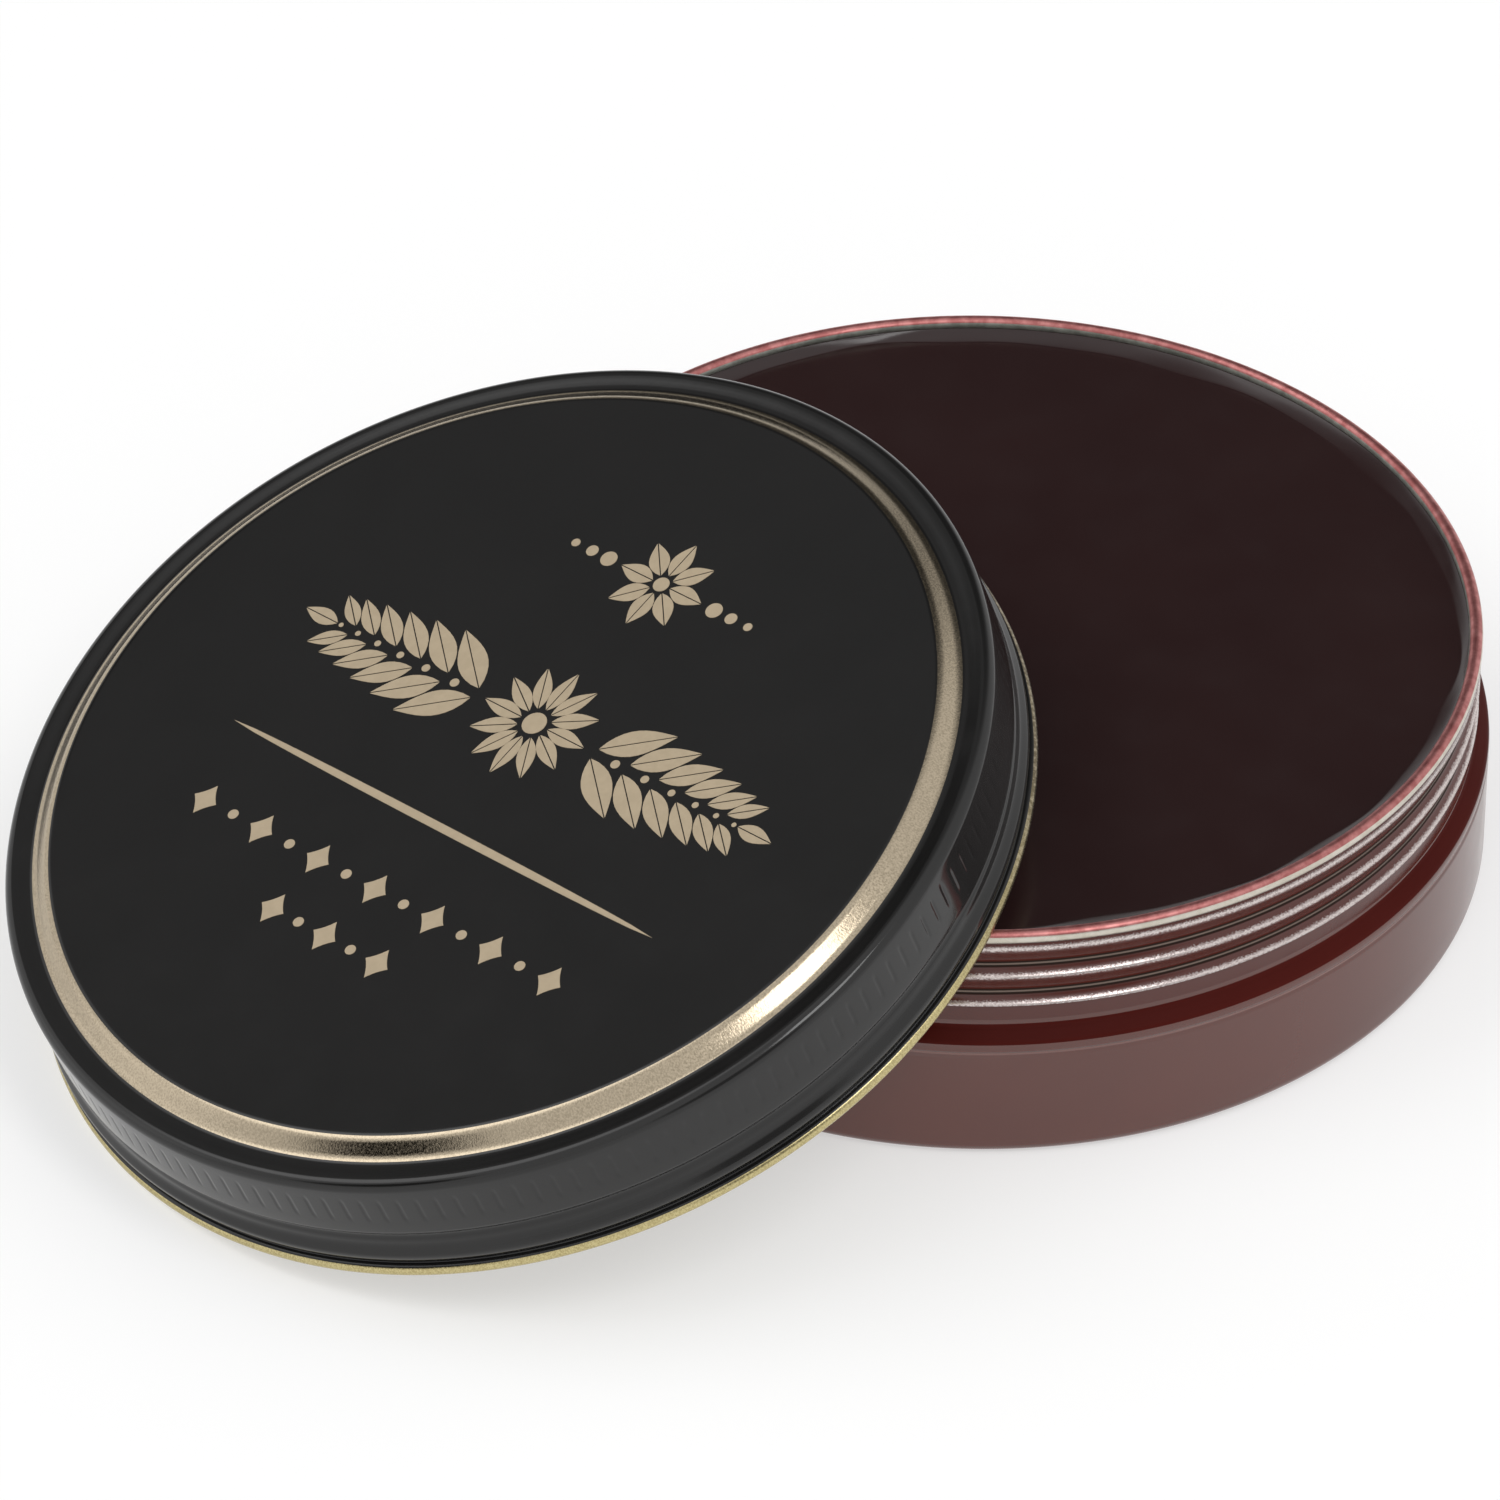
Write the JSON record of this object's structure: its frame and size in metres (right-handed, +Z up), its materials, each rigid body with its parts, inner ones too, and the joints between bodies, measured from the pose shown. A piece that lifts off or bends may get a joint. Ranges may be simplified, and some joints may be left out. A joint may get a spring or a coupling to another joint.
{
  "type": "shoe polish tin",
  "caption": "Round flat polish tin: a beaded base filled with wax and a press-on lid that leans open against its rim.",
  "frame": {"origin": "centre of the underside of the base, on the surface the tin stands on", "axes": "+Z up along the axis of the base, +X away from the leaning lid, so the lid lies towards -X"},
  "size_m": [0.1278, 0.0852, 0.0395],
  "materials": {
    "base_enamel": "glossy oxblood enamel on sheet metal",
    "polish_wax": "smooth dark wax paste",
    "lid_enamel": "satin black enamel with gold lacquer"
  },
  "bodies": {
    "base": {"base_tin": "base_enamel", "polish": "polish_wax"},
    "lid": {"lid": "lid_enamel"}
  },
  "joints": [
    {"name": "lid_lift", "type": "slide", "parent": "base", "child": "lid", "axis": [0, 0, 1], "range_m": [0, 0.05]}
  ]
}
